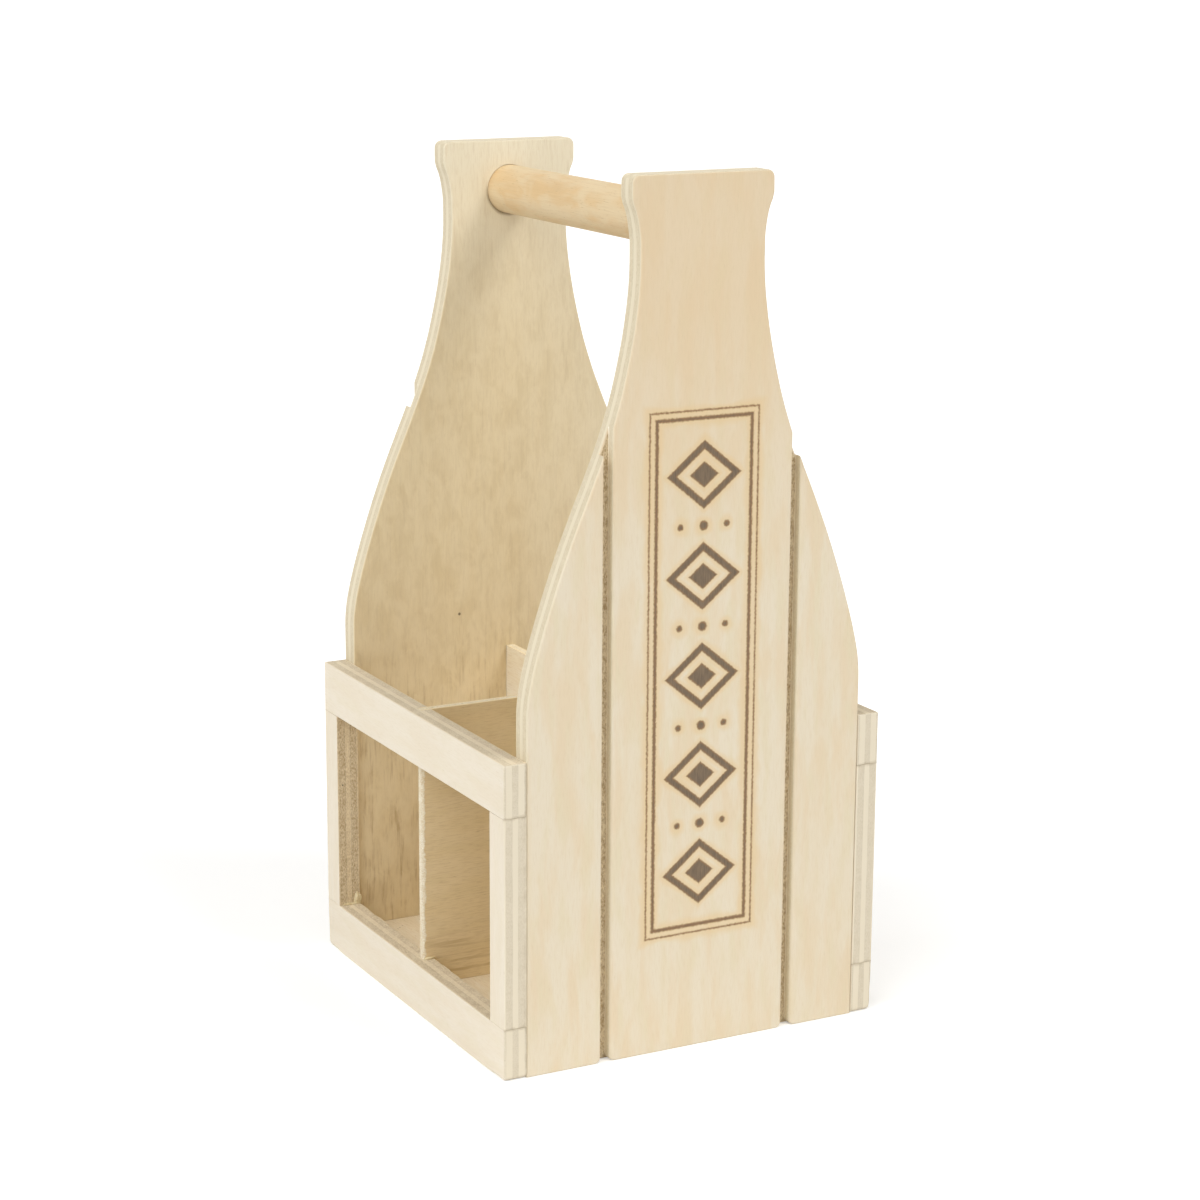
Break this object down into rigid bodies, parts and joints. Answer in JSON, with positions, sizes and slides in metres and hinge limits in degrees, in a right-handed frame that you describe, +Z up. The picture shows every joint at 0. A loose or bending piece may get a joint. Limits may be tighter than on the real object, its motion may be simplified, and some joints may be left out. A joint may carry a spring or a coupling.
{
  "type": "bottle caddy",
  "caption": "Plywood bottle caddy: bottle-shaped end panels with a round handle between them, windowed side frames, crossing dividers and a floor.",
  "frame": {"origin": "middle of the underside, where the caddy stands", "axes": "+Z up, +X to the right as the front end panel is faced, +Y from the front panel to the back panel, along the handle"},
  "size_m": [0.165, 0.171, 0.34],
  "materials": {
    "panel_plywood": "sanded pale plywood, upright grain",
    "frame_plywood": "sanded pale plywood, grain along each strip",
    "divider_plywood": "thin raw plywood, level wavy grain",
    "floor_plywood": "raw pale plywood",
    "handle_wood": "turned and sanded hardwood rod"
  },
  "bodies": {
    "root": {"front_panel": "panel_plywood", "back_panel": "panel_plywood", "handle_dowel": "handle_wood", "floor_board": "floor_plywood", "cross_divider": "divider_plywood", "long_divider": "divider_plywood", "left_top_rail": "frame_plywood", "left_bottom_rail": "frame_plywood", "left_front_stile": "frame_plywood", "left_back_stile": "frame_plywood", "right_top_rail": "frame_plywood", "right_bottom_rail": "frame_plywood", "right_front_stile": "frame_plywood", "right_back_stile": "frame_plywood"}
  },
  "joints": []
}
